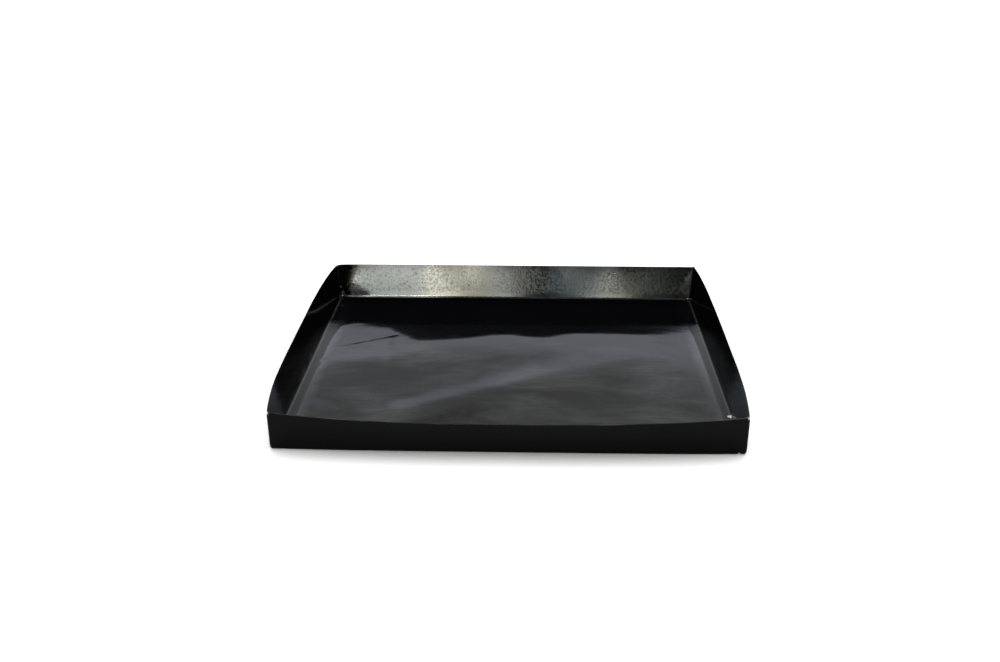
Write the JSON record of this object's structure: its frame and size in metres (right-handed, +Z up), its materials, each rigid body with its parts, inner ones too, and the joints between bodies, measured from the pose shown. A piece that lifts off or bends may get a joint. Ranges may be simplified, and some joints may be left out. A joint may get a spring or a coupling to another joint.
{
  "type": "oil drain pan",
  "caption": "Shallow square black sheet-steel drain pan with low folded walls, bowed raw rims and welded corners.",
  "frame": {"origin": "middle of the bounding box, on the surface that the pan stands on", "axes": "+Z up out of the open side, -Y towards the front wall, +X to the right seen from the front"},
  "size_m": [0.6276, 0.641, 0.0566],
  "materials": {
    "black_steel": "glossy black, lightly scuffed",
    "seam_weld": "dark weld bead, blackened",
    "bare_weld": "bare weld metal"
  },
  "bodies": {
    "root": {"folded_sheet": "black_steel", "corner_seam_front_left": "seam_weld", "corner_seam_front_right": "seam_weld", "corner_seam_back_left": "seam_weld", "corner_seam_back_right": "seam_weld", "corner_plug_front_left": "bare_weld", "corner_plug_front_right": "bare_weld", "corner_plug_back_left": "bare_weld", "corner_plug_back_right": "bare_weld"}
  },
  "joints": []
}
